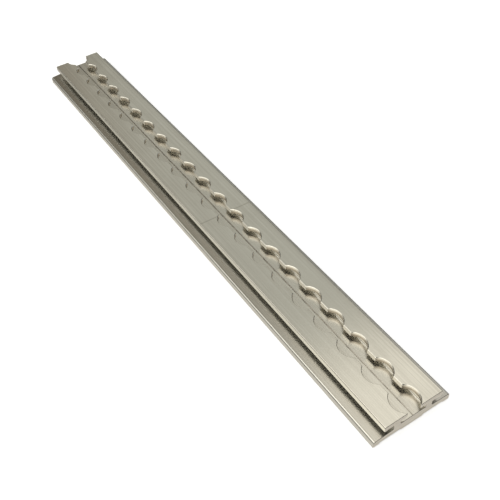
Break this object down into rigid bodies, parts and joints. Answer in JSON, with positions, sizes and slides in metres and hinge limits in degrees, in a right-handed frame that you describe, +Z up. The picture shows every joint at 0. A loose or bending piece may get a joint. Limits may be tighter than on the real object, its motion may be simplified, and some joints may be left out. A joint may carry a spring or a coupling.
{
  "type": "scalloped floor track rail",
  "caption": "Straight aluminium floor track with a scalloped T-slot for removable anchor fittings, grooved plate edges and base flanges.",
  "frame": {"origin": "middle of the length and width, on the plane that the feet rest on", "axes": "+X along the track towards the end whose first entry hole is whole, +Z up out of the slot, +Y across"},
  "size_m": [0.52, 0.0636, 0.0155],
  "materials": {
    "extrusion": "mill finish with lengthwise drawing lines"
  },
  "bodies": {
    "root": {"track_extrusion": "extrusion"}
  },
  "joints": []
}
